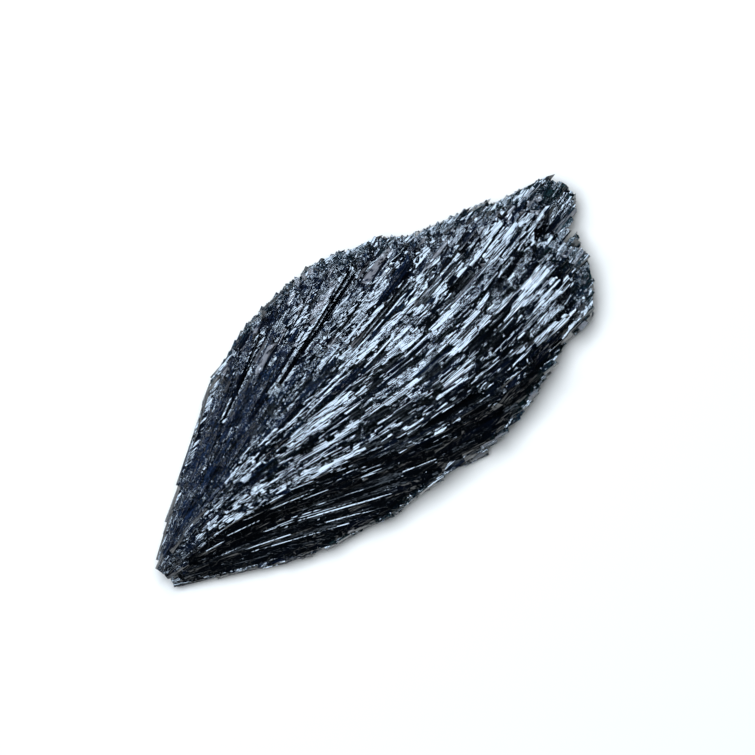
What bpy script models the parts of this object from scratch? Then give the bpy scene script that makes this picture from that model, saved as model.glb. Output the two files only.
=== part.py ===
"""A black kyanite fan: dark blades of kyanite that grew outwards from one root.

The fan lies flat, as it does on a table. +X runs from its root towards its tips and +Z
is up. The origin is under the middle of the fan, at the level that it rests on. All the
blades have grown through each other, so they are joined in one solid.

A place on the fan is a radius from the growth point, just behind the root, and an angle
from +X, which names the path that a blade there grows along. Sizes are in millimetres
up to the last step, which turns them to metres.
"""

import math
import random
from functools import partial

import bmesh
import bpy
import numpy as np
from mathutils import Matrix, Vector

NODE_NAME = "kyanite_fan"
METRES = 0.001
SEED = 23

# Driving sizes, in millimetres.
FAN_LENGTH = 85.0
FAN_WIDTH = 39.0
FAN_THICKNESS = 13.0

# How far the fan reaches from the growth point, at each angle: (degrees, radius).
RIM = (
    (-30, 15), (-27, 24), (-25, 31), (-23, 38.5), (-20, 43.6), (-17.5, 50), (-16.6, 52), (-16, 58.3),
    (-14, 60.7), (-12, 65.5), (-10, 71), (-8, 78), (-6, 80.2), (-2, 82.8), (1, 81.3), (2, 86.5),
    (3.5, 88), (5, 87.3), (6, 85), (7, 81.4), (9, 77), (10.5, 72.3), (12.5, 67), (16, 64.6),
    (18, 62.4), (21, 57), (24, 53.2), (26, 50.2), (29, 44), (31, 40.2), (32, 36.5), (33, 29), (36, 15),
)
# How far a blade's path swings off its angle at each radius, in degrees: the blades curve on
# their way out. The share of it at each angle: the edges of the fan are straight.
SWING = ((0, 12), (11, 9), (22, 4), (30, 0.5), (37, -2), (47, -3), (57, -3), (66, -2), (80, 0), (90, 1.5))
SWING_SHARE = ((-28, 0), (-14, 0.8), (-8, 1), (2, 1), (12, 0.5), (22, 0.2), (31, 0))
# Height of the upper side along the fan's spine: (radius, height).
SPINE = ((0, 6.0), (10, 7.6), (25, 10.6), (45, 12.0), (62, 11.4), (76, 9.8), (90, 7.4))
# Share of the spine's height at each angle. The short side falls away more steeply.
CROSS = (
    (-31, 0.3), (-25, 0.4), (-18, 0.53), (-10, 0.78), (-5, 1.0), (2, 0.98), (8, 0.93),
    (16, 0.84), (24, 0.72), (30, 0.58), (37, 0.42),
)
# Height of the underside at each angle, lowest under the middle of the fan.
UNDER = ((-31, 2.2), (-20, 1.7), (-8, 1.1), (10, 1.1), (24, 1.7), (37, 2.4))

# The blades that fill the fan, in layers: how many, the share of the fan's thickness where
# the layer starts and ends, and the share of the way to the rim that its blades reach.
LAYERS = (
    {"name": "lower", "count": 17, "from": 0.0, "to": 0.48, "reach": (0.86, 0.97)},
    {"name": "middle", "count": 25, "from": 0.22, "to": 0.8, "reach": (0.985, 1.01)},
    {"name": "upper", "count": 22, "from": 0.5, "to": 1.0, "reach": (0.84, 0.985)},
)
LAYER_ANGLES = (-26.0, 31.2)
LAYER_LIFT = 0.35
LAYER_JITTER = 0.2  # how far a blade is off its even place, in steps from one blade to the next
LAYER_ROLL = 9.0  # degrees either way about a blade's own length
LAYER_TURN = 1.0  # degrees that a blade bends to one side on its way out
LAYER_POINT = (0.8, 1.0)  # the share of its section that a blade ends with
LAYER_OVERLAP = 1.9  # a blade's width over the distance to the next blade of its layer
SIDE_RANGE = (0.86, 1.1)  # where the sides of a blade may end, as shares of its length
FLAT_SHARE = 0.7  # the share of a blade's width that is flat, between its bevelled edges
ROOT_RADIUS = (3.0, 6.5)  # the broken root lies this far from the growth point
ROOT_WIDTH = 1.6

# Blades that stand out of the upper side and of the underside.
UPPER_BLADES = 104
UNDER_BLADES = 36
BLADE_LENGTH = (7.0, 22.0)
BLADE_WIDTH = (1.0, 2.4)
BLADE_DEPTH = 2.6
BLADE_LIFT = (0.1, 0.9)
BLADE_ROLL = 16.0
BLADE_POINT = (0.5, 0.9)
BLADE_START = 0.6  # the share of its width that a blade starts with
BLADE_LONGEST = 0.6  # the longest blade, as a share of the way to the rim
BLADE_PLACES = (0.12, 0.97)  # blades start after the first share of that way and end before the last
UNDER_LIFT = 0.8  # blades stand this much less out of the underside
BLADE_SLANT = 3.0  # how much longer a blade is at one side than at the other

# Broad blades whose flat cleavage faces the fan rests on: (angle, start, end, width).
REST_BLADES = ((1.0, 14.0, 50.0, 9.0), (21.0, 33.0, 49.0, 3.6), (-14.0, 36.0, 55.0, 3.6), (-2.0, 60.0, 76.0, 4.0))
REST_DEPTH = 3.2
REST_START = 0.7

# Deep gaps where a blade has split away: (angle, start, end, width, depth).
GAPS = (
    (18.4, 36.0, 57.0, 1.5, 3.4),
    (11.4, 45.0, 61.0, 1.3, 2.6),
    (26.6, 28.0, 42.0, 1.1, 2.0),
    (6.0, 60.0, 68.0, 1.3, 2.6),
    (2.0, 65.5, 71.0, 3.2, 3.2),
    (-4.6, 69.0, 79.0, 2.0, 2.6),
    (-6.4, 47.0, 58.0, 1.7, 2.6),
    (2.5, 78.0, 86.0, 1.4, 3.4),
)
GAP_START = 0.4

# Notch in the rim beside the longest blades, through the whole fan: (angle, start, end, width).
NOTCH = (0.45, 81.3, 92.0, 3.4)
NOTCH_HEIGHTS = (-2.0, 15.0)

KYANITE_COLOR = (0.012, 0.014, 0.02, 1.0)
KYANITE_ROUGHNESS = 0.3
KYANITE_IOR = 1.72


def at(table, place):
    """The value at a place, between the points of a table."""
    return float(np.interp(place, [row[0] for row in table], [row[1] for row in table]))


def top(radius, angle):
    return at(SPINE, radius) * at(CROSS, angle)


def bearing(radius, angle):
    """The true angle at a radius of the path that an angle names."""
    return angle + at(SWING_SHARE, angle) * at(SWING, radius)


def prism(cuts):
    """A flat six-sided blade, one unit long on +X and one wide and thick, with cuts across its length."""
    bm = bmesh.new()
    bmesh.ops.create_cone(bm, cap_ends=True, segments=6, radius1=0.5, radius2=0.5, depth=1.0)
    lengthwise = [e for e in bm.edges if abs(e.verts[0].co.z - e.verts[1].co.z) > 0.5]
    if cuts:
        bmesh.ops.subdivide_edges(bm, edges=lengthwise, cuts=cuts)
    half_height = max(v.co.x for v in bm.verts)
    for v in bm.verts:
        up = 0.5 * v.co.x / half_height
        is_side = abs(up) < 0.1
        v.co = Vector((v.co.z + 0.5, v.co.y if is_side else math.copysign(0.5 * FLAT_SHARE, v.co.y), up))
    bmesh.ops.recalc_face_normals(bm, faces=bm.faces)
    return bm


def blade(name, angle, start, end, width, heights, roll=0.0, turn=0.0, point=1.0, cuts=1):
    """A blade that grows from start to end along an angle of the fan.

    width is a pair, at its start and at its end. end gives the radius of its broken end at
    an angle, and heights its underside and its upper side at a radius. The blade is rolled
    about its own length, turn bends it to one side, and point narrows its end.
    """
    bm = prism(cuts)
    rolled = Matrix.Rotation(math.radians(roll), 2)
    reach = end(bearing(at(RIM, angle), angle), 0.0)
    for v in bm.verts:
        along, across, up = v.co
        radius = start + along * (reach - start)
        is_tip = along > 0.99
        if is_tip:
            across, up = across * point, up * point
            radius = end(bearing(reach, angle) + turn + math.degrees(across * width[1] / reach), across)
        low, high = heights(radius)
        side = across * (width[0] + along * (width[1] - width[0]))
        side, up = rolled @ Vector((side, up * (high - low)))
        heading = math.radians(bearing(radius, angle) + turn * along * along)
        v.co = (
            radius * math.cos(heading) - side * math.sin(heading),
            radius * math.sin(heading) + side * math.cos(heading),
            0.5 * (low + high) + up,
        )
    mesh = bpy.data.meshes.new(name)
    bm.to_mesh(mesh)
    bm.free()
    return bpy.data.objects.new(name, mesh)


def rim_end(angle, reach, side_angle, _across):
    """A blade that reaches the rim follows it across its width, with sides of about one length."""
    length = at(RIM, bearing(at(RIM, angle), angle))
    shortest, longest = (share * length for share in SIDE_RANGE)
    return reach * min(max(at(RIM, side_angle), shortest), longest)


def slanted_end(tip, slant, _side_angle, across):
    return tip + slant * across


def layer_heights(layer, angle, lift, radius):
    low, high = at(UNDER, angle) + lift, top(radius, angle) + lift
    return low + layer["from"] * (high - low), low + layer["to"] * (high - low)


def upper_heights(angle, lift, radius):
    high = top(radius, angle) + lift
    return high - BLADE_DEPTH, high


def under_heights(angle, lift, _radius):
    low = at(UNDER, angle) - UNDER_LIFT * lift
    return low, low + BLADE_DEPTH


def rest_heights(_radius):
    return 0.0, REST_DEPTH


def gap_heights(angle, depth, radius):
    return top(radius, angle) - depth, top(radius, angle) + depth


def notch_heights(_radius):
    return NOTCH_HEIGHTS


def layer_blades(layer, chance):
    """The blades of one layer, side by side from one edge of the fan to the other."""
    first, last = LAYER_ANGLES
    step = (last - first) / (layer["count"] - 1)
    for number in range(layer["count"]):
        angle = first + number * step + chance.uniform(-LAYER_JITTER, LAYER_JITTER) * step
        end = partial(rim_end, angle, chance.uniform(*layer["reach"]))
        width = LAYER_OVERLAP * at(RIM, bearing(at(RIM, angle), angle)) * math.radians(step)
        heights = partial(layer_heights, layer, angle, chance.uniform(-LAYER_LIFT, LAYER_LIFT))
        yield blade(
            f"{layer['name']}_{number}", angle, chance.uniform(*ROOT_RADIUS), end, (ROOT_WIDTH, width), heights,
            roll=chance.uniform(-LAYER_ROLL, LAYER_ROLL), turn=chance.uniform(-LAYER_TURN, LAYER_TURN),
            point=chance.uniform(*LAYER_POINT), cuts=3,
        )


def proud_blades(name, count, chance, face):
    """Blades that stand out of one side of the fan. face gives their low and high side there."""
    for number in range(count):
        angle = chance.uniform(*LAYER_ANGLES)
        rim = at(RIM, angle)
        length = min(chance.uniform(*BLADE_LENGTH), BLADE_LONGEST * rim)
        start = chance.uniform(BLADE_PLACES[0] * rim, BLADE_PLACES[1] * rim - length)
        width = chance.uniform(*BLADE_WIDTH)
        end = partial(slanted_end, start + length, chance.uniform(-BLADE_SLANT, BLADE_SLANT))
        heights = partial(face, angle, chance.uniform(*BLADE_LIFT))
        yield blade(
            f"{name}_{number}", angle, start, end, (BLADE_START * width, width), heights,
            roll=chance.uniform(-BLADE_ROLL, BLADE_ROLL), point=chance.uniform(*BLADE_POINT),
        )


def rest_blades():
    for number, (angle, start, tip, width) in enumerate(REST_BLADES):
        end = partial(slanted_end, tip, 0.0)
        yield blade(f"rest_{number}", angle, start, end, (REST_START * width, width), rest_heights)


def gap_cutters():
    for number, (angle, start, tip, width, depth) in enumerate(GAPS):
        end = partial(slanted_end, tip, 0.0)
        heights = partial(gap_heights, angle, depth)
        yield blade(f"gap_{number}", angle, start, end, (GAP_START * width, width), heights)


def notch_cutter():
    angle, start, tip, width = NOTCH
    return blade("notch", angle, start, partial(slanted_end, tip, 0.0), (width, width), notch_heights)


def helper_collection(name, objects):
    """A collection of objects that only shape the fan and are no part of it."""
    collection = bpy.data.collections.new(name)
    bpy.context.scene.collection.children.link(collection)
    for helper in objects:
        helper.hide_render = True
        helper.display_type = "WIRE"
        collection.objects.link(helper)
    return collection


def boolean(target, operation, collection):
    modifier = target.modifiers.new(operation.lower(), "BOOLEAN")
    modifier.operation = operation
    modifier.operand_type = "COLLECTION"
    modifier.collection = collection


def black_kyanite():
    material = bpy.data.materials.new("black_kyanite")
    material.use_nodes = True
    shader = material.node_tree.nodes["Principled BSDF"]
    shader.inputs["Base Color"].default_value = KYANITE_COLOR
    shader.inputs["Roughness"].default_value = KYANITE_ROUGHNESS
    shader.inputs["Metallic"].default_value = 0.0
    shader.inputs["IOR"].default_value = KYANITE_IOR
    return material


def filled(mesh):
    """Fills the gaps that the blades have sealed in, so only the outermost shell is left."""
    bm = bmesh.new()
    bm.from_mesh(mesh)
    unseen = set(bm.faces)
    shells = []
    while unseen:
        shell = [unseen.pop()]
        for face in shell:
            for neighbour in {f for e in face.edges for f in e.link_faces} & unseen:
                unseen.remove(neighbour)
                shell.append(neighbour)
        shells.append(shell)
    shells.sort(key=lambda faces: sum(f.calc_area() for f in faces))
    bmesh.ops.delete(bm, geom=[f for shell in shells[:-1] for f in shell], context="FACES")
    bm.to_mesh(mesh)
    bm.free()


def fitted(mesh):
    """Brings the joined blades to the driving sizes, over the origin, in metres."""
    corners = np.array([v.co for v in mesh.vertices])
    low, high = corners.min(axis=0), corners.max(axis=0)
    scale = np.array((FAN_LENGTH, FAN_WIDTH, FAN_THICKNESS)) / (high - low)
    foot = Vector((*(0.5 * (low + high))[:2], low[2]))
    mesh.transform(Matrix.Diagonal((*(METRES * scale), 1.0)) @ Matrix.Translation(-foot))


def main():
    for old in list(bpy.data.objects):
        bpy.data.objects.remove(old)
    chance = random.Random(SEED)
    blades = [b for layer in LAYERS for b in layer_blades(layer, chance)]
    blades += proud_blades("proud", UPPER_BLADES, chance, upper_heights)
    blades += proud_blades("under", UNDER_BLADES, chance, under_heights)
    blades += rest_blades()
    grown = blades[0]
    bpy.context.scene.collection.objects.link(grown)
    helpers = helper_collection("joined_blades", blades[1:])
    cutters = helper_collection("split_gaps", [*gap_cutters(), notch_cutter()])
    boolean(grown, "UNION", helpers)
    boolean(grown, "DIFFERENCE", cutters)
    mesh = bpy.data.meshes.new_from_object(grown.evaluated_get(bpy.context.evaluated_depsgraph_get()))
    for old in list(bpy.data.objects):
        bpy.data.objects.remove(old)
    for collection in (helpers, cutters):
        bpy.data.collections.remove(collection)
    filled(mesh)
    fitted(mesh)
    mesh.name = NODE_NAME
    mesh.materials.clear()
    mesh.materials.append(black_kyanite())
    fan = bpy.data.objects.new(NODE_NAME, mesh)
    home = bpy.data.collections.new("black_kyanite_fan")
    bpy.context.scene.collection.children.link(home)
    home.objects.link(fan)


main()
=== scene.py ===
"""A black kyanite fan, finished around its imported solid.

The solid has the fan's large blades. This script grows the small crystals on them: thin
blades, crumbs of mica-like grit, and splinters at the rim, the root and the two long edges.
Each crystal is a closed shell sunk into the solid or its neighbours, in one mesh with the
solid. The script also gives the mineral its surface, and sets the floor, the lights and
the camera, which looks straight down on the fan.

A place on the fan is a radius from the growth point, just behind the root, and an angle
from +X, which names the path that a blade there grows along. The paths sway, so that the
true bearing of a path changes with the radius. Sizes are in millimetres and angles in
degrees, and the mesh and the scene are in metres.
"""

import math
import random
from functools import partial, reduce
from typing import NamedTuple

import bmesh
import bpy
import numpy as np
from bpy.props import FloatProperty, FloatVectorProperty, IntProperty, PointerProperty
from mathutils import Matrix, Vector
from mathutils.bvhtree import BVHTree


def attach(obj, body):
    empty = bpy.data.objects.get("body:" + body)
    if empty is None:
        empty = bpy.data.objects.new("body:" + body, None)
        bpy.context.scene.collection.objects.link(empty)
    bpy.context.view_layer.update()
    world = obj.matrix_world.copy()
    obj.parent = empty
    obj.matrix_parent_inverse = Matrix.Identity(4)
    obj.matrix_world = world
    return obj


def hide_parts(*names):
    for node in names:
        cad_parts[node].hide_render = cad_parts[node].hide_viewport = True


bl_info = {
    "name": "Black kyanite fan",
    "version": (1, 0, 0),
    "blender": (4, 5, 0),
    "location": "View3D > Sidebar > Kyanite fan",
    "description": "Grows small blades on a fan of black kyanite and lights it on a pale floor",
    "category": "Add Mesh",
}

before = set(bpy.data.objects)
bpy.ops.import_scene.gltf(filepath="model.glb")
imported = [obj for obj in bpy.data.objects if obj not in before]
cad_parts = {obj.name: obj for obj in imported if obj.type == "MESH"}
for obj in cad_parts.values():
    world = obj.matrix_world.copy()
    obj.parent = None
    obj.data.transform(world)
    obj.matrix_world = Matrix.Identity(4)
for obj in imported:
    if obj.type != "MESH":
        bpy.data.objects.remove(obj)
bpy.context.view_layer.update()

NODE = "kyanite_fan"
PIECE = "kyanite_crystals"
MM = 0.001
WELD = 1e-6  # corners of the solid's loose triangles that are nearer than this are one, in metres
GRAIN_MAP, GRIT_LAYER, RIM_LAYER = "grain", "grit", "rim_share"
SEED = 5

# The paths, as the solid has them. A path's bearing is its angle and the swing at the
# radius, from (radius, swing), times the path's share of it, from (angle, share).
GROWTH_POINT = (-44.96, -2.34)
SWING = (
    (0, 12), (11, 9), (22, 4), (30, 0.5), (37, -2), (47, -3), (57, -3), (66, -2), (80, 0), (90, 1.5),
)
SWING_SHARE = ((-28, 0), (-14, 0.8), (-8, 1), (2, 1), (12, 0.5), (22, 0.2), (31, 0))

# Where the solid is felt for its outline, each as first, last and step.
RIM_ANGLES = (-28, 34, 0.25)
RIM_RADII = (92, 10, -0.3)
BORDER_ANGLES = (44, 10, -0.1)
ABOVE_ALL = 40.0
RIM_ROOM = 0.5  # the angle on either side of its path that a blade takes up

HIGHEST = 12.95  # no crystal is set above this
LOWEST = 0.25  # and none below this, so that the fan rests on the solid
CLEARANCE = 0.1  # what a blade on a broad side leaves to these
DEEPEST = -0.3  # a blade that would have to sink deeper than this is left out

BROAD_FACE = 0.36  # from the middle of a blade's broad face to its edge, in shares of the width
HALF_BLADE = 0.35  # how much of its width a blade needs on either side of its path
INNER_SLANT = -0.6  # the slant of a blade's inner end, in shares of its outer end's
LONGEST = 0.4  # the longest blade, in shares of the way to the rim
OUTWARD = 0.7  # below 1, so that more blades lie near the far end of their zone
DEPTH_SPREAD = (0.7, 1.2)
TAPER_SPREAD = (0.55, 1.0)
SLANT_SPREAD = (-1.2, 1.2)
BLADE_ROUGH = 0.05  # how far a corner strays, in shares of the blade's width

# How gritty a face is runs from POLISHED, over 0 for a plain cleavage face, to 1 for crumbs.
POLISHED = -0.3
SOLID_GRIT = 0.3


class Zone(NamedTuple):
    """The blades that grow on one stretch of a broad side."""

    angles: tuple  # the paths that they grow along
    shares: tuple  # how far out they lie, in shares of the way to the rim
    count: int
    length: tuple
    width: tuple
    lift: tuple  # how far they stand out of the side
    lean: tuple  # how far their broad face leans to the fan's left, and how much that varies
    grit: tuple
    depth: float = 1.3
    rise: tuple = (0.0, 0.04)  # how much more their far end stands out, for each mm of length


class CrumbZone(NamedTuple):
    """The crumbs that lie on one stretch of the upper side."""

    angles: tuple
    shares: tuple
    count: int
    size: tuple


class Splinters(NamedTuple):
    """The short broken blades along one edge of the fan."""

    count: int
    places: tuple  # their angles at the rim and the root, and their radii along the long edges
    length: tuple
    width: tuple
    depth: tuple
    level: tuple  # how high they lie, from the underside at 0 to the upper side at 1
    taper: tuple
    grit: tuple
    rough: float


class Gap(NamedTuple):
    """A place where a blade has split away, which stays open."""

    angle: float
    start: float
    end: float
    width: float


# The zones, in the order in which they grow.
UPPER_ZONES = {
    "dark side": Zone(
        angles=(-26, -6.5), shares=(0.1, 0.98), count=420, length=(8, 26), width=(0.8, 2.2),
        lift=(0.05, 0.5), lean=(-30, 6), grit=(-0.3, -0.05),
    ),
    "dark rim": Zone(
        angles=(-26, -8), shares=(0.7, 0.995), count=260, length=(3, 9), width=(1.0, 2.4),
        lift=(0.3, 0.7), lean=(-32, 7), grit=(-0.3, 0.1),
    ),
    "bright edges": Zone(
        angles=(-22, -6), shares=(0.15, 0.92), count=80, length=(4, 12), width=(0.12, 0.26),
        lift=(0.4, 0.8), lean=(0, 8), grit=(-0.3, -0.2), depth=0.8,
    ),
    "crest": Zone(
        angles=(-8.5, -2), shares=(0.42, 0.96), count=330, length=(6, 18), width=(0.4, 1.3),
        lift=(0.3, 0.9), lean=(-22, 11), grit=(0.0, 0.25), depth=1.2,
    ),
    "dark middle": Zone(
        angles=(-3.5, 0.5), shares=(0.46, 0.7), count=90, length=(5, 14), width=(0.4, 1.2),
        lift=(0.3, 0.9), lean=(-17, 10), grit=(0.0, 0.3), depth=1.2,
    ),
    "silver root": Zone(
        angles=(-7, 0.5), shares=(0.08, 0.36), count=200, length=(3, 8), width=(0.4, 1.3),
        lift=(0.4, 1.1), lean=(7, 10), grit=(0.0, 0.35), rise=(-0.24, -0.12),
    ),
    "silver streak": Zone(
        angles=(5.5, 11.5), shares=(0.08, 0.4), count=130, length=(3, 8), width=(0.4, 1.3),
        lift=(0.4, 1.1), lean=(7, 8), grit=(0.0, 0.35), rise=(-0.24, -0.12),
    ),
    "silver blades": Zone(
        angles=(-4, 11), shares=(0.12, 0.64), count=560, length=(6, 20), width=(0.3, 1.2),
        lift=(0.0, 0.8), lean=(7, 17), grit=(0.0, 0.3),
    ),
    "dark streaks": Zone(
        angles=(3.5, 8), shares=(0.48, 0.68), count=50, length=(4, 12), width=(0.4, 1.0),
        lift=(0.4, 0.9), lean=(-16, 8), grit=(0.0, 0.3), depth=1.2,
    ),
    "silver left": Zone(
        angles=(7, 12), shares=(0.56, 0.94), count=150, length=(5, 16), width=(0.5, 1.4),
        lift=(0.2, 0.9), lean=(7, 9), grit=(0.0, 0.35),
    ),
    "silver upper": Zone(
        angles=(9, 14), shares=(0.6, 0.9), count=70, length=(3, 9), width=(0.5, 1.5),
        lift=(0.2, 0.9), lean=(7, 9), grit=(0.0, 0.35), rise=(0.0, 0.1),
    ),
    "right tips": Zone(
        angles=(-8, -3), shares=(0.5, 0.98), count=130, length=(3, 10), width=(0.7, 1.8),
        lift=(0.1, 0.9), lean=(-9, 14), grit=(0.0, 0.5), depth=1.4, rise=(0.02, 0.1),
    ),
    "tip flats": Zone(
        angles=(-3.5, 10), shares=(0.55, 0.98), count=330, length=(3, 11), width=(0.8, 2.3),
        lift=(0.05, 0.9), lean=(7, 12), grit=(0.0, 0.6), depth=1.5, rise=(0.04, 0.16),
    ),
    "slate root": Zone(
        angles=(11, 31), shares=(0.1, 0.66), count=320, length=(6, 18), width=(0.7, 1.8),
        lift=(0.05, 0.5), lean=(31, 8), grit=(0.3, 0.9),
    ),
    "slate blades": Zone(
        angles=(9, 25), shares=(0.58, 0.98), count=300, length=(3, 10), width=(0.7, 2.0),
        lift=(0.0, 0.6), lean=(12, 14), grit=(0.2, 0.9), depth=1.4, rise=(0.0, 0.14),
    ),
    "left edge": Zone(
        angles=(24, 31.5), shares=(0.4, 0.97), count=180, length=(2, 8), width=(0.6, 1.7),
        lift=(0.0, 0.5), lean=(32, 10), grit=(0.6, 1.0), depth=1.2,
    ),
}
UNDER_ZONES = {
    "underside": Zone(
        angles=(-26, 31), shares=(0.1, 0.96), count=420, length=(4, 16), width=(0.6, 2.0),
        lift=(0.0, 0.4), lean=(0, 10), grit=(0.0, 0.6),
    ),
}
GRIT_ZONES = {
    "patch": CrumbZone(angles=(-3, 11), shares=(0.52, 0.74), count=220, size=(0.35, 0.9)),
    "left edge": CrumbZone(angles=(20, 31), shares=(0.3, 0.98), count=240, size=(0.3, 0.9)),
    "upper rim": CrumbZone(angles=(3, 24), shares=(0.86, 0.985), count=260, size=(0.4, 1.1)),
    "slate blades": CrumbZone(angles=(9, 20), shares=(0.55, 0.9), count=180, size=(0.3, 0.8)),
    "tips": CrumbZone(angles=(-8, 8), shares=(0.8, 0.985), count=260, size=(0.4, 1.0)),
    "rim": CrumbZone(angles=(-6, 31), shares=(0.95, 0.99), count=260, size=(0.5, 1.3)),
}
# Blades that lie over the others, and grow last.
TOP_ZONES = {
    "dark crest": Zone(
        angles=(-5.5, 3), shares=(0.67, 0.88), count=165, length=(4, 11), width=(0.4, 1.3),
        lift=(0.4, 1.0), lean=(-19, 9), grit=(-0.15, 0.2), depth=1.2,
    ),
    "silver crest": Zone(
        angles=(-6, -2), shares=(0.32, 0.5), count=10, length=(4, 10), width=(0.4, 1.2),
        lift=(0.5, 0.9), lean=(7, 8), grit=(0.0, 0.3), depth=1.2,
    ),
    "dark root": Zone(
        angles=(-8, -4), shares=(0.16, 0.34), count=24, length=(3, 7), width=(0.4, 1.1),
        lift=(0.6, 1.1), lean=(-16, 9), grit=(0.0, 0.4), depth=1.2, rise=(-0.12, 0.0),
    ),
    "silver strand": Zone(
        angles=(8.5, 14), shares=(0.28, 0.44), count=45, length=(3, 7), width=(0.4, 1.1),
        lift=(0.6, 1.1), lean=(7, 8), grit=(0.0, 0.3), depth=1.2, rise=(-0.08, 0.0),
    ),
    "silver rim": Zone(
        angles=(10.5, 16), shares=(0.7, 0.9), count=90, length=(3, 8), width=(0.5, 1.4),
        lift=(0.4, 1.0), lean=(8, 8), grit=(0.0, 0.4), depth=1.2, rise=(-0.06, 0.06),
    ),
    "slate strand": Zone(
        angles=(6, 12.5), shares=(0.12, 0.29), count=36, length=(3, 6), width=(0.4, 1.2),
        lift=(0.6, 1.1), lean=(-15, 10), grit=(0.25, 0.7), depth=1.2, rise=(-0.12, 0.0),
    ),
    "slate base": Zone(
        angles=(-8, 10), shares=(0.07, 0.21), count=95, length=(3, 6), width=(0.4, 1.2),
        lift=(0.5, 1.1), lean=(-15, 12), grit=(0.25, 0.7), depth=1.2, rise=(-0.12, 0.0),
    ),
    "bright seams": Zone(
        angles=(-17, -5), shares=(0.2, 0.86), count=46, length=(5, 14), width=(0.1, 0.2),
        lift=(0.5, 0.9), lean=(2, 6), grit=(-0.3, -0.2), depth=0.8, rise=(-0.02, 0.02),
    ),
}

RIM = Splinters(
    count=560, places=(-26, 32), length=(1.5, 5.0), width=(0.4, 1.3), depth=(0.5, 1.3),
    level=(0.05, 1.0), taper=(0.6, 0.95), grit=(0.3, 0.9), rough=0.08,
)
SIDES = Splinters(
    count=280, places=(8, 47), length=(3.0, 7.0), width=(0.5, 1.1), depth=(0.7, 1.4),
    level=(0.15, 0.95), taper=(0.3, 0.7), grit=(0.3, 0.9), rough=0.06,
)
ROOT = Splinters(
    count=110, places=(-25, 30), length=(4.0, 9.0), width=(0.4, 1.0), depth=(0.4, 1.0),
    level=(0.08, 0.92), taper=(0.5, 1.0), grit=(0.2, 0.8), rough=0.06,
)
RIM_REACH = (-1.2, 0.15)  # how far past the rim its splinters end
RIM_LEAN = ((-26, -40), (-9, -30), (-4, 0), (8, 5), (31, 35))  # (angle, lean)
SIDE_INSET = (-0.25, 0.35)  # how far inside the long edges their splinters lie
SIDE_LEAN = 25
ROOT_ENDS = (2.9, 6.0)  # the radii where the root's splinters end

# The rounded lobe at the tip and the corner across the notch: (angle, end).
TIP_LOBE = (
    (6.0, 83.8), (5.5, 85.2), (5.0, 86.2), (4.5, 86.7), (3.9, 87.1), (3.3, 87.3), (2.7, 87.4), (2.1, 87.3),
    (1.6, 86.9), (1.15, 86.0), (0.8, 84.6), (0.5, 83.2), (-1.6, 82.3), (-2.2, 82.8), (-2.8, 83.0),
)
LOBE_BLADES = 4  # at each of these ends

GAPS = (
    Gap(18.4, 36.0, 57.0, 1.3),
    Gap(11.4, 45.0, 61.0, 1.0),
    Gap(26.6, 28.0, 42.0, 0.8),
    Gap(6.0, 60.0, 68.0, 1.1),
    Gap(2.0, 65.5, 71.0, 3.2),
    Gap(-4.6, 69.0, 79.0, 1.8),
    Gap(-6.4, 47.0, 58.0, 1.4),
    Gap(2.5, 78.0, 86.0, 1.2),
)
NOTCH = Gap(0.45, 81.0, 92.0, 3.0)  # goes through the whole fan

# The features of the mineral's surface, as (length, width) along and across the blades, and
# the steps of its cleavage, as (length, width, slope). The real lines and crumbs are about
# 0.1 mm wide, too fine to show, and are drawn as coarse as they need to be.
STRIPE = (9.0, 0.7)
LINE = (12.0, 0.36)
CRUMB = (0.34, 0.34)
PATCH = (5.0, 2.2)
LONG_STEP = (20.0, 0.65, 0.2)
SHORT_STEP = (2.4, 0.55, 0.14)
GRITTY_STEP = (1.0, 0.4, 0.42)
GRAIN_WIDTH = 0.7  # widths in the map, in shares of the true ones, so features lie wider apart
GRAIN_RADIUS = 10.0  # inside this, the features narrow towards the growth point
POLISHED_RELIEF = 0.3  # the share of the relief that a polished face keeps
SHUFFLE = 97.0  # turns a crystal's grit into a number that looks random
IOR = 1.72

# The camera's picture: the fan's +X rises to its right, and the growth point is a pixel of it.
PICTURE_SIDE = 755  # pixels
GROWTH_PIXEL = (150, 590)
MM_PER_PIXEL = 0.15
FAN_SLOPE = 40.0
FOCUS_HEIGHT = 8.0  # at which MM_PER_PIXEL holds
SENSOR = 36.0

# The stage, in metres.
FLOOR_REACH = 1.2
KEY_DISTANCE = 0.65
KEY_SIDE = 0.38
KEY_COLOR = "#D2E8FF"
FILL_PLACE = (-0.35, 0.45, 0.3)
FILL_SIDE = 0.3
FILL_COLOR = "#7FB0FF"
WORLD_COLOR = "#8FB4E8"
WORLD_STRENGTH = 0.008


def at(table, place):
    """The value at a place, or at each of an array of places, between the points of a table."""
    return np.interp(place, [row[0] for row in table], [row[1] for row in table])


def bearing(radius, angle):
    """The true angle at a radius of the path that an angle names."""
    return angle + at(SWING_SHARE, angle) * at(SWING, radius)


def spot(radius, angle):
    """The x and y of a place on the fan."""
    heading = math.radians(bearing(radius, angle))
    return GROWTH_POINT[0] + radius * math.cos(heading), GROWTH_POINT[1] + radius * math.sin(heading)


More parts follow.
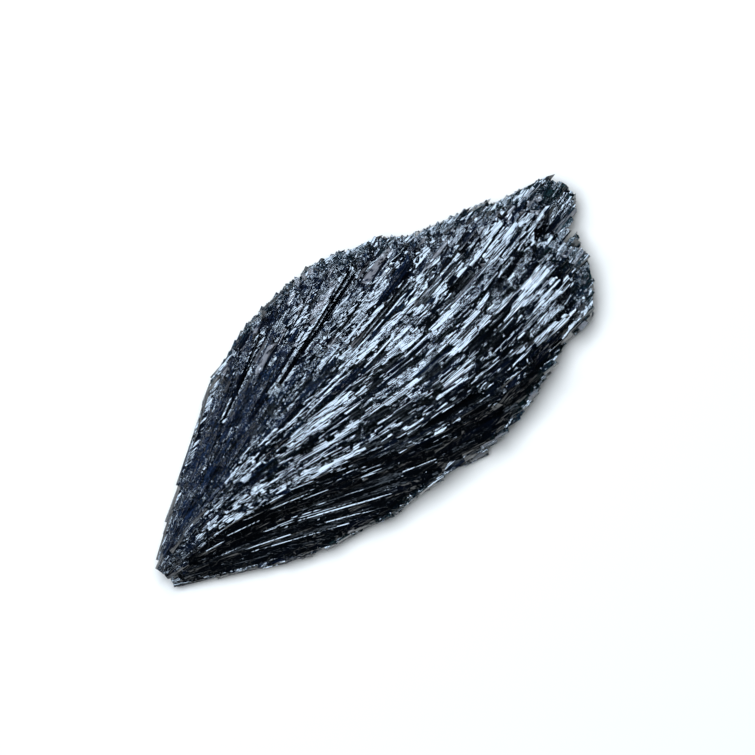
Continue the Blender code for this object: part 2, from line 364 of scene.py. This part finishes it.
class Surface:
    """The solid's two broad sides and its outline, to set crystals on."""

    def __init__(self, bm):
        self.tree = BVHTree.FromBMesh(bm)
        self.angles = np.arange(*RIM_ANGLES)
        self.edges = np.array([self.edge(angle) for angle in self.angles])

    def height(self, x, y, upper=True):
        """The height of a side over a place in the plane, or None beside the fan."""
        origin = Vector((x, y, ABOVE_ALL if upper else -ABOVE_ALL))
        hit = self.tree.ray_cast(origin, Vector((0, 0, -1 if upper else 1)))[0]
        return None if hit is None else hit.z

    def level(self, place, share):
        """A height between the underside at 0 and the upper side at 1, or None beside the fan."""
        low, high = self.height(*place, upper=False), self.height(*place)
        return None if None in (low, high) else low + share * (high - low)

    def edge(self, angle):
        """The radius where the fan ends along a path."""
        radii = np.arange(*RIM_RADII)
        innermost = RIM_RADII[1]
        return next((radius for radius in radii if self.height(*spot(radius, angle)) is not None), innermost)

    def border(self, radius, side):
        """The angle where the fan ends at a radius, on its left at side 1 and on its right at -1."""
        angles = side * np.arange(*BORDER_ANGLES)
        innermost = side * BORDER_ANGLES[1]
        return next((angle for angle in angles if self.height(*spot(radius, angle)) is not None), innermost)

    def reach(self, angle):
        """How far the fan reaches along a path and on either side of it."""
        paths = (angle - RIM_ROOM, angle, angle + RIM_ROOM)
        return float(min(np.interp(path, self.angles, self.edges) for path in paths))


def crystal(length, width, depth, taper, slant, rough, chance):
    """A flat six-sided blade along +X from the origin, its broad face up and its corners a bit astray."""
    bm = bmesh.new()
    bmesh.ops.create_cone(bm, cap_ends=True, segments=6, radius1=0.5, radius2=0.5, depth=1.0)
    half_height = math.cos(math.radians(30)) * 0.5
    for corner in bm.verts:
        outer = corner.co.z > 0
        along, across, up = corner.co.z + 0.5, corner.co.y, 0.5 * corner.co.x / half_height
        if abs(up) > 0.1:  # on the broad faces, and not at half height
            across = math.copysign(BROAD_FACE, across)
        if outer:
            across, up = across * taper, up * (0.5 + 0.5 * taper)
        cut = slant * across if outer else INNER_SLANT * slant * across
        corner.co = (along * length + cut, across * width, up * depth)
        corner.co += Vector([chance.uniform(-rough, rough) * width for _ in range(3)])
    bmesh.ops.recalc_face_normals(bm, faces=bm.faces)
    return bm


def add_crystal(fan, bm, grit):
    """Moves a crystal into the fan's mesh, and marks its faces with how gritty they are."""
    layer = fan.faces.layers.float[GRIT_LAYER]
    corners = {corner: fan.verts.new(corner.co) for corner in bm.verts}
    for face in bm.faces:
        fan.faces.new([corners[corner] for corner in face.verts])[layer] = grit
    bm.free()


def lay_blade(fan, bm, roll, start, end, drop, grit):
    """Adds a blade that points from start to end, rolled about its length and sunk by drop."""
    along = (Vector(end) - Vector(start)).normalized()
    side = Vector((0, 0, 1)).cross(along).normalized()
    up = along.cross(side)
    turn = Matrix.Rotation(roll, 3, along)
    side, up = turn @ side, turn @ up
    turned = Matrix((along, side, up)).transposed().to_4x4()
    bmesh.ops.transform(bm, matrix=Matrix.Translation(Vector(start) - drop * up) @ turned, verts=bm.verts)
    add_crystal(fan, bm, grit)


def is_open(angle, first, last, width):
    """Whether a blade of this width would fill a gap."""
    for gap in (*GAPS, NOTCH):
        radius = 0.5 * (max(first, gap.start) + min(last, gap.end))
        away = abs(math.radians(angle - gap.angle)) * radius
        if first < gap.end and last > gap.start and away < 0.5 * gap.width + HALF_BLADE * width:
            return True
    return False


def grow_blades(zone, surface, chance, fan, upper=True):
    """Blades that follow one side of the fan."""
    sign = 1.0 if upper else -1.0
    for _ in range(zone.count):
        angle = chance.uniform(*zone.angles)
        to_rim = surface.reach(angle)
        length = min(chance.uniform(*zone.length), LONGEST * to_rim)
        low, high = (share * to_rim for share in zone.shares)
        first = low + max(0.0, high - length - low) * chance.random() ** OUTWARD
        depth = zone.depth * chance.uniform(*DEPTH_SPREAD)
        width = chance.triangular(*zone.width, zone.width[0])
        lift = chance.uniform(*zone.lift)
        ends = [spot(radius, angle) for radius in (first, first + length)]
        heights = [surface.height(*end, upper=upper) for end in ends]
        roll = -math.radians(chance.gauss(*zone.lean))
        taper, slant = chance.uniform(*TAPER_SPREAD), chance.uniform(*SLANT_SPREAD)
        grit = chance.uniform(*zone.grit)
        if None in heights or (upper and is_open(angle, first, first + length, width)):
            continue
        room = min(HIGHEST - height if upper else height - LOWEST for height in heights) - CLEARANCE
        lift = min(lift, room)
        if lift < DEEPEST:
            continue
        rise = min(length * chance.uniform(*zone.rise), room - lift)
        start, end = (
            (*place, height + sign * (lift + extra))
            for place, height, extra in zip(ends, heights, (0.0, rise))
        )
        bm = crystal(length, width, depth, taper, slant, BLADE_ROUGH, chance)
        lay_blade(fan, bm, roll, start, end, sign * 0.5 * depth, grit)


def line_gaps(surface, chance, fan):
    """Two steep blades on the floor of each gap, so it isn't flat."""
    end_room, above_floor, drop, steep = 0.5, 0.3, 0.2, 45
    depth, taper, slant, grit = 0.8, 0.8, 0.0, 0.1
    for gap in GAPS:
        first, last = gap.start + end_room, gap.end - end_room
        middle = 0.5 * (first + last)
        for side in (-1, 1):
            path = gap.angle + side * math.degrees(0.3 * gap.width / middle)
            start, end = (spot(radius, path) for radius in (first, last))
            heights = [surface.height(*place) for place in (start, end, spot(middle, path))]
            if None in heights:
                continue
            low = min(heights) + above_floor
            bm = crystal(last - first, 0.9 * gap.width, depth, taper, slant, BLADE_ROUGH, chance)
            lay_blade(fan, bm, math.radians(steep * side), (*start, low), (*end, low), drop, grit)


def scatter_crumbs(zone, surface, chance, fan):
    """Crumbs that lie every way on the upper side."""
    turn_spread, tilt_spread, slant, rough = 22, 24, 0.3, 0.08
    for _ in range(zone.count):
        angle = chance.uniform(*zone.angles)
        radius = surface.reach(angle) * chance.uniform(*zone.shares)
        size = chance.triangular(*zone.size, zone.size[0])
        x, y = spot(radius, angle)
        height = surface.height(x, y)
        heading = math.radians(bearing(radius, angle) + chance.gauss(0, turn_spread))
        tilt = math.radians(chance.gauss(0, tilt_spread))
        tilt_axis = (chance.uniform(-1, 1), 1, 0)
        length = size * chance.uniform(1.0, 2.6)
        if height is None or height > HIGHEST - size or is_open(angle, radius, radius + length, size):
            continue
        bm = crystal(length, size, 0.9 * size, chance.uniform(0.6, 1.0), slant, rough, chance)
        middle = Matrix.Translation((x, y, height - 0.1 * size))
        turned = middle @ Matrix.Rotation(heading, 4, "Z") @ Matrix.Rotation(tilt, 4, tilt_axis)
        place = turned @ Matrix.Translation((-0.5 * length, 0, 0))
        bmesh.ops.transform(bm, matrix=place, verts=bm.verts)
        add_crystal(fan, bm, chance.uniform(0.7, 1.0))


def splinter_rim(surface, chance, fan):
    """Short blunt blades that end at the rim, at every height of its broken edge."""
    feel_inside, roll_spread = 0.8, 15
    for _ in range(RIM.count):
        angle = chance.uniform(*RIM.places)
        edge = float(np.interp(angle, surface.angles, surface.edges))
        length = chance.uniform(*RIM.length)
        tip = edge + chance.uniform(*RIM_REACH)
        width, depth = chance.uniform(*RIM.width), chance.uniform(*RIM.depth)
        start, end = (spot(radius, angle) for radius in (tip - length, tip))
        middle = surface.level(spot(edge - feel_inside, angle), chance.uniform(*RIM.level))
        taper, slant = chance.uniform(*RIM.taper), chance.uniform(-0.3, 0.3)
        roll = math.radians(chance.gauss(0, roll_spread) - at(RIM_LEAN, angle))
        if middle is None:
            continue
        middle = min(max(middle, LOWEST + depth), HIGHEST - depth)
        bm = crystal(length, width, depth, taper, slant, RIM.rough, chance)
        end = (*end, middle + chance.uniform(-0.3, 0.3))
        lay_blade(fan, bm, roll, (*start, middle), end, 0.0, chance.uniform(*RIM.grit))


def round_lobe(surface, chance, fan):
    """Blunt blades that round off the tip, where the solid ends in steps."""
    feel_inside, path_spread, roll_spread = 5.0, 0.25, 25
    taper, slant, rough = 0.7, 0.0, 0.1
    for angle, tip in TIP_LOBE:
        inner = spot(tip - feel_inside, angle)
        for _ in range(LOBE_BLADES):
            length, width = chance.uniform(4.0, 6.5), chance.uniform(0.9, 1.4)
            last = tip - chance.uniform(0.0, 0.5)
            start, end = (
                spot(radius, angle + chance.uniform(-path_spread, path_spread))
                for radius in (last - length, last)
            )
            middle = surface.level(inner, chance.uniform(0.2, 0.85))
            bm = crystal(length, width, width, taper, slant, rough, chance)
            roll = math.radians(chance.gauss(0, roll_spread))
            end = (*end, middle + chance.uniform(-0.4, 0.2))
            lay_blade(fan, bm, roll, (*start, middle), end, 0.0, chance.uniform(0.5, 1.0))


def splinter_sides(surface, chance, fan):
    """Blades along the two long edges, from the root to the rim."""
    feel_inside = 2.0  # degrees
    for _ in range(SIDES.count):
        side = chance.choice((-1, 1))
        first, length = chance.uniform(*SIDES.places), chance.uniform(*SIDES.length)
        radii = (first, first + length)
        borders = [surface.border(radius, side) for radius in radii]
        width, depth = chance.uniform(*SIDES.width), chance.uniform(*SIDES.depth)
        grit = chance.uniform(*SIDES.grit)
        inset = side * math.degrees((0.5 * width + chance.uniform(*SIDE_INSET)) / first)
        start, end = (spot(radius, border - inset) for radius, border in zip(radii, borders))
        inner = spot(first + 0.5 * length, sum(borders) / 2 - feel_inside * side)
        middle = surface.level(inner, chance.uniform(*SIDES.level))
        roll = math.radians(chance.gauss(-SIDE_LEAN * side, SIDE_LEAN))
        if middle is None:
            continue
        middle = max(middle, LOWEST + depth)
        bm = crystal(length, width, depth, chance.uniform(*SIDES.taper), 0.0, SIDES.rough, chance)
        end = (*end, middle + chance.uniform(-0.2, 0.3))
        lay_blade(fan, bm, roll, (*start, middle), end, 0.4 * depth, grit)


def splinter_root(surface, chance, fan):
    """Broken stubs that point back from the fan at the root."""
    feel_inside, roll_limit = 3.5, 40
    for _ in range(ROOT.count):
        angle = chance.uniform(*ROOT.places)
        last, length = chance.uniform(*ROOT_ENDS), chance.uniform(*ROOT.length)
        start, end = (spot(radius, angle) for radius in (last + length, last))
        middle = surface.level(spot(last + feel_inside, angle), chance.uniform(*ROOT.level))
        width, depth = chance.uniform(*ROOT.width), chance.uniform(*ROOT.depth)
        if middle is None:
            continue
        middle = max(middle, LOWEST + depth)
        bm = crystal(length, width, depth, chance.uniform(*ROOT.taper), 0.0, ROOT.rough, chance)
        roll = math.radians(chance.uniform(-roll_limit, roll_limit))
        lay_blade(fan, bm, roll, (*start, middle), (*end, middle), 0.0, chance.uniform(*ROOT.grit))


def map_grain(mesh, surface):
    """A UV map along the blades and across them, in metres, and each point's share of the way to the rim.

    The mesh is still in millimetres.
    """
    corners = np.empty(len(mesh.vertices) * 3)
    mesh.vertices.foreach_get("co", corners)
    x, y = (corners.reshape(-1, 3)[:, :2] - np.array(GROWTH_POINT)).T
    radius, true_angle = np.hypot(x, y), np.degrees(np.arctan2(y, x))
    angle = true_angle
    for _ in range(2):  # each time nearer to the path's own angle
        angle = true_angle - at(SWING_SHARE, angle) * at(SWING, radius)
    across = np.radians(angle) * GRAIN_WIDTH * radius.clip(GRAIN_RADIUS)
    loops = np.empty(len(mesh.loops), dtype=np.int32)
    mesh.loops.foreach_get("vertex_index", loops)
    grain = mesh.uv_layers.new(name=GRAIN_MAP)
    grain.data.foreach_set("uv", (MM * np.stack([radius, across], axis=1)[loops]).ravel())
    rim_share = mesh.attributes.new(RIM_LAYER, "FLOAT", "POINT")
    rim_share.data.foreach_set("value", radius / np.interp(angle, surface.angles, surface.edges))


def linear(code):
    """The linear colour of an sRGB hex code."""
    channels = (int(code[place:place + 2], 16) / 255 for place in (1, 3, 5))
    return tuple(
        value / 12.92 if value <= 0.04045 else ((value + 0.055) / 1.055) ** 2.4
        for value in channels
    )


def add_node(tree, kind, inputs=(), **settings):
    """Adds a node with its settings and links, and returns the first output that it shows.

    The inputs are values or outputs of other nodes, by name, or in the order of the inputs
    that the node shows.
    """
    node = tree.nodes.new("ShaderNode" + kind)
    for name, value in settings.items():
        setattr(node, name, value)
    if isinstance(inputs, dict):
        pairs = [(node.inputs[name], value) for name, value in inputs.items()]
    else:
        pairs = zip([socket for socket in node.inputs if socket.enabled], inputs)
    for socket, value in pairs:
        if isinstance(value, bpy.types.NodeSocket):
            tree.links.new(value, socket)
        else:
            socket.default_value = value
    return next((socket for socket in node.outputs if socket.enabled), None)


def black_kyanite(settings):
    """Natural black kyanite, split along its cleavage.

    It is an opaque blue-black silicate with a glassy to pearly shine. Clean cleavage faces
    mirror the light, and faces that are full of mica-like crumbs glitter. Fine lines run
    along the blades, and steps of the cleavage tilt parts of a face. A few blades near the rim
    carry a painted highlight, a pale warm tint for the cream reflection of the light, and thin edges show a
    grey-green.
    """
    material = bpy.data.materials.new("black_kyanite_cleaved")
    material.use_nodes = True
    tree = material.node_tree
    tree.nodes.clear()
    add = partial(add_node, tree)

    place = add("TexCoord").node.outputs["Object"]
    height = add("SeparateXYZ", (place,)).node.outputs["Z"]
    grain = add("SeparateXYZ", (add("UVMap", uv_map=GRAIN_MAP),)).node.outputs
    along = add("CombineXYZ", (grain["X"], grain["Y"], height))
    grit = add("Attribute", attribute_name=GRIT_LAYER).node.outputs["Fac"]
    rim = add("Attribute", attribute_name=RIM_LAYER).node.outputs["Fac"]

    def measured(vector, length, width):
        """Texture space in which a feature of this length and width, in millimetres, is one unit."""
        sizes = (1 / (length * MM), 1 / (width * MM), 1 / (width * MM))
        return add("VectorMath", (vector, sizes), operation="MULTIPLY")

    def mask(*ranges):
        """A share from 0 to 1: the product of several values, each mapped from its range.

        A range is a value, the two limits that it is mapped from, and the two that it is
        mapped to where they aren't 0 and 1.
        """
        shares = [add("MapRange", limits) for limits in ranges]
        return reduce(lambda first, second: add("Math", (first, second), operation="MULTIPLY"), shares)

    def facets(length, width, slope):
        """The relief of cleavage steps of about this size, each a plane that tilts its own way."""
        space = measured(along, length, width)
        cells = add("TexVoronoi", {"Vector": space, "Scale": 1.0}).node.outputs
        from_middle = add("VectorMath", (space, cells["Position"]), operation="SUBTRACT")
        tilts = add("VectorMath", (cells["Color"], (0.5, 0.5, 0.5)), operation="SUBTRACT")
        # Each channel of a cell's colour is random, so its plane tilts by up to the slope across
        # the blades, and by up to 0.3 of the slope along them.
        along_drop, across_drop = 0.6 * slope * length * MM, 2 * slope * width * MM
        sizes = (along_drop, across_drop, across_drop)
        drops = add("VectorMath", (from_middle, sizes), operation="MULTIPLY")
        return add("VectorMath", (drops, tilts), operation="DOT_PRODUCT")

    stripes, lines, crumbs, patches = (
        add("TexNoise", {
            "Vector": measured(vector, *size), "Scale": 1.0, "Detail": detail, "Roughness": 0.6,
        })
        for vector, size, detail in (
            (along, STRIPE, 3.0),
            (along, LINE, 2.0),
            (place, CRUMB, 2.0),
            (along, PATCH, 2.0),
        )
    )
    # Each crystal has its own grit, so this gives each its own tone.
    shuffled = add("Math", (grit, SHUFFLE), operation="MULTIPLY")
    tone = add("Math", (shuffled,), operation="FRACT")

    # Crumbs lie in patches, also on a face that is neither clean nor full of them.
    patchy = add("MapRange", (patches, 0.35, 0.65, -0.35, 0.35))
    gritty = add("Math", (grit, patchy), operation="ADD")
    gritty = add("MapRange", (gritty, 0.35, 0.75))
    crumb_tops = add("MapRange", (crumbs, 0.55, 0.75))

    # Slate comes in stripes, more on some crystals than on others, and little on clean faces.
    slate = mask((stripes, 0.42, 0.66), (tone, 0.0, 1.0, 0.3, 1.0), (grit, 0.0, 0.3, 0.1, 1.0))
    crumb = add("Math", (gritty, crumb_tops), operation="MULTIPLY")
    # Painted highlight: a pale warm tint for the light's cream reflection, along the lines,
    # near the rim, on about one in nine of the gritty crystals.
    painted_highlight = mask((tone, 0.88, 0.89), (lines, 0.42, 0.5, 0.0, 0.75), (rim, 0.62, 0.68), (grit, 0.28, 0.3))
    # The very rim is thin.
    edge = mask((rim, 0.94, 1.0, 0.0, 0.45), (crumbs, 0.45, 0.65))
    color = (*settings.dark_color, 1.0)
    for share, tint in (
        (slate, settings.slate_color),
        (crumb, settings.crumb_color),
        (painted_highlight, settings.painted_highlight_color),
        (edge, settings.edge_color),
    ):
        color = add("Mix", (share, color, (*tint, 1.0)), data_type="RGBA")
    roughness = add("MapRange", (gritty, 0.0, 1.0, settings.clean_roughness, settings.gritty_roughness))

    gritty_crumbs = add("Math", (crumbs, gritty), operation="MULTIPLY")
    relief = 0.0
    for layer, strength in (
        (facets(*LONG_STEP), 1.0),
        (facets(*GRITTY_STEP), gritty),
        (facets(*SHORT_STEP), 1.0),
        (lines, settings.line_depth),
        (gritty_crumbs, settings.crumb_depth),
    ):
        relief = add("Math", (layer, strength, relief), operation="MULTIPLY_ADD")
    kept = add("MapRange", (grit, POLISHED, 0.0, POLISHED_RELIEF, 1.0))
    relief = add("Math", (relief, kept), operation="MULTIPLY")
    bump = add("Bump", {"Height": relief, "Distance": 1.0, "Strength": 1.0})

    shader = add("BsdfPrincipled", {
        "Base Color": color, "Roughness": roughness, "Normal": bump, "IOR": IOR, "Metallic": 0.0,
    })
    add("OutputMaterial", {"Surface": shader})
    return material


def matt_card(settings):
    """White card, uncoated: matt all over, with a cool white."""
    material = bpy.data.materials.new("matt_white_card")
    material.use_nodes = True
    shader = material.node_tree.nodes["Principled BSDF"]
    shader.inputs["Base Color"].default_value = (*settings.floor_color, 1.0)
    shader.inputs["Roughness"].default_value = 0.9
    shader.inputs["Specular IOR Level"].default_value = 0.1
    return material


def add_softbox(name, place, side, power, color):
    """A square light at a place, turned to the origin."""
    light = bpy.data.lights.new(name, "AREA")
    light.shape, light.size = "SQUARE", side
    light.energy, light.color = power, linear(color)
    softbox = bpy.data.objects.new(name, light)
    softbox.location = place
    softbox.rotation_euler = place.to_track_quat("Z", "Y").to_euler()
    bpy.context.scene.collection.objects.link(softbox)


def picture_centre():
    """The place on the fan that is in the middle of the picture, in millimetres."""
    right = MM_PER_PIXEL * (PICTURE_SIDE / 2 - GROWTH_PIXEL[0])
    up = MM_PER_PIXEL * (GROWTH_PIXEL[1] - PICTURE_SIDE / 2)
    slope = math.radians(FAN_SLOPE)
    return (
        GROWTH_POINT[0] + right * math.cos(slope) + up * math.sin(slope),
        GROWTH_POINT[1] - right * math.sin(slope) + up * math.cos(slope),
    )


class KyaniteFanSettings(bpy.types.PropertyGroup):
    """What a user would change on the mineral."""

    dark_color: FloatVectorProperty(
        name="Dark", description="Colour of the darkest kyanite", subtype="COLOR", min=0, max=1,
        default=linear("#030405"))
    slate_color: FloatVectorProperty(
        name="Slate", description="Colour of the bluest kyanite", subtype="COLOR", min=0, max=1,
        default=linear("#10192B"))
    crumb_color: FloatVectorProperty(
        name="Crumbs", description="Colour of the mica-like crumbs", subtype="COLOR", min=0, max=1,
        default=linear("#233149"))
    # Painted highlight: the pale warm tint that stands in for the light's cream reflection on a few blades
    # near the rim.
    painted_highlight_color: FloatVectorProperty(
        name="Painted highlight", description="Colour of the painted warm highlight on a few blades", subtype="COLOR", min=0, max=1,
        default=linear("#978F8D"))
    edge_color: FloatVectorProperty(
        name="Thin edges", description="Colour of the thin edges at the rim", subtype="COLOR", min=0, max=1,
        default=linear("#35504F"))
    clean_roughness: FloatProperty(
        name="Clean face", description="Roughness of a clean cleavage face", default=0.08, min=0, max=1)
    gritty_roughness: FloatProperty(
        name="Gritty face", description="Roughness of a face full of crumbs", default=0.15, min=0, max=1)
    line_depth: FloatProperty(
        name="Line depth", description="Depth of the fine lines along a blade", unit="LENGTH", precision=6,
        default=0.14 * MM)
    crumb_depth: FloatProperty(
        name="Crumb depth", description="Depth of the crumbs on a gritty face", unit="LENGTH", precision=6,
        default=0.16 * MM)
    seed: IntProperty(name="Seed", description="Another seed grows other crystals", default=SEED)


class KyaniteStageSettings(bpy.types.PropertyGroup):
    """What a user would change on the stage."""

    floor_color: FloatVectorProperty(
        name="Floor", description="Colour of the floor", subtype="COLOR", min=0, max=1,
        default=linear("#FCEBDA"))
    key_power: FloatProperty(
        name="Key light", description="Power of the softbox", unit="POWER", default=7.8)
    key_tilt: FloatProperty(
        name="Key tilt", description="How far the softbox stands off the vertical", subtype="ANGLE",
        default=math.radians(12))
    fill_power: FloatProperty(
        name="Fill light", description="Power of the blue fill light", unit="POWER", default=0.3)
    camera_height: FloatProperty(
        name="Camera height", description="Height of the camera above the floor", unit="LENGTH",
        default=0.7)


class OBJECT_OT_kyanite_crystals(bpy.types.Operator):
    """Grow the small blades on the fan, as one mesh with it"""

    bl_idname = "object.kyanite_crystals"
    bl_label = "Kyanite crystals"

    def execute(self, context):
        settings = context.scene.kyanite_fan
        chance = random.Random(settings.seed)
        fan = bmesh.new()
        fan.from_mesh(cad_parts[NODE].data)
        bmesh.ops.remove_doubles(fan, verts=fan.verts, dist=WELD)
        bmesh.ops.scale(fan, vec=(1 / MM, 1 / MM, 1 / MM), verts=fan.verts)
        if any(not edge.is_manifold for edge in fan.edges):
            raise RuntimeError("the merged solid isn't closed")
        surface = Surface(fan)
        layer = fan.faces.layers.float.new(GRIT_LAYER)
        for face in fan.faces:
            face[layer] = SOLID_GRIT

        for zone in UPPER_ZONES.values():
            grow_blades(zone, surface, chance, fan)
        for zone in UNDER_ZONES.values():
            grow_blades(zone, surface, chance, fan, upper=False)
        line_gaps(surface, chance, fan)
        splinter_rim(surface, chance, fan)
        round_lobe(surface, chance, fan)
        splinter_sides(surface, chance, fan)
        splinter_root(surface, chance, fan)
        for zone in GRIT_ZONES.values():
            scatter_crumbs(zone, surface, chance, fan)
        for zone in TOP_ZONES.values():
            grow_blades(zone, surface, chance, fan)

        mesh = bpy.data.meshes.new(PIECE)
        fan.to_mesh(mesh)
        fan.free()
        map_grain(mesh, surface)
        mesh.transform(Matrix.Scale(MM, 4))
        mesh.materials.append(black_kyanite(settings))
        piece = bpy.data.objects.new(PIECE, mesh)
        context.scene.collection.objects.link(piece)
        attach(piece, "root")
        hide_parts(NODE)
        return {"FINISHED"}


class OBJECT_OT_kyanite_stage(bpy.types.Operator):
    """Set the floor, the lights and the camera"""

    bl_idname = "object.kyanite_stage"
    bl_label = "Kyanite stage"

    def execute(self, context):
        scene = context.scene
        settings = scene.kyanite_stage
        bm = bmesh.new()
        bmesh.ops.create_grid(bm, x_segments=1, y_segments=1, size=FLOOR_REACH)
        mesh = bpy.data.meshes.new("floor")
        bm.to_mesh(mesh)
        bm.free()
        mesh.materials.append(matt_card(settings))
        floor = bpy.data.objects.new("floor", mesh)
        scene.collection.objects.link(floor)

        key_place = Vector((0, math.sin(settings.key_tilt), math.cos(settings.key_tilt))) * KEY_DISTANCE
        add_softbox("key_softbox", key_place, KEY_SIDE, settings.key_power, KEY_COLOR)
        add_softbox("fill_softbox", Vector(FILL_PLACE), FILL_SIDE, settings.fill_power, FILL_COLOR)

        world = bpy.data.worlds.new("studio")
        world.use_nodes = True
        background = world.node_tree.nodes["Background"]
        background.inputs["Color"].default_value = (*linear(WORLD_COLOR), 1.0)
        background.inputs["Strength"].default_value = WORLD_STRENGTH
        scene.world = world
        scene.view_settings.view_transform = "Standard"

        camera = bpy.data.objects.new("camera", bpy.data.cameras.new("camera"))
        scene.collection.objects.link(camera)
        distance = settings.camera_height - FOCUS_HEIGHT * MM
        camera.data.sensor_width = SENSOR
        camera.data.lens = SENSOR * distance / (PICTURE_SIDE * MM_PER_PIXEL * MM)
        camera.location = (*(MM * place for place in picture_centre()), settings.camera_height)
        camera.rotation_euler = (0, 0, -math.radians(FAN_SLOPE))
        camera.data.clip_start, camera.data.clip_end = 0.01, 10.0
        scene.camera = camera
        return {"FINISHED"}


class VIEW3D_PT_kyanite_fan(bpy.types.Panel):
    """The fan's operators and settings"""

    bl_label = "Kyanite fan"
    bl_space_type = "VIEW_3D"
    bl_region_type = "UI"
    bl_category = "Kyanite fan"

    def draw(self, context):
        for operator, settings in (
            (OBJECT_OT_kyanite_crystals, context.scene.kyanite_fan),
            (OBJECT_OT_kyanite_stage, context.scene.kyanite_stage),
        ):
            self.layout.operator(operator.bl_idname)
            for name in settings.__annotations__:
                self.layout.prop(settings, name)


CLASSES = (
    KyaniteFanSettings,
    KyaniteStageSettings,
    OBJECT_OT_kyanite_crystals,
    OBJECT_OT_kyanite_stage,
    VIEW3D_PT_kyanite_fan,
)


def register():
    for cls in CLASSES:
        bpy.utils.register_class(cls)
    bpy.types.Scene.kyanite_fan = PointerProperty(type=KyaniteFanSettings)
    bpy.types.Scene.kyanite_stage = PointerProperty(type=KyaniteStageSettings)


def unregister():
    del bpy.types.Scene.kyanite_stage
    del bpy.types.Scene.kyanite_fan
    for cls in reversed(CLASSES):
        bpy.utils.unregister_class(cls)


def main():
    register()
    bpy.ops.object.kyanite_crystals()
    bpy.ops.object.kyanite_stage()


if __name__ == "__main__":
    main()
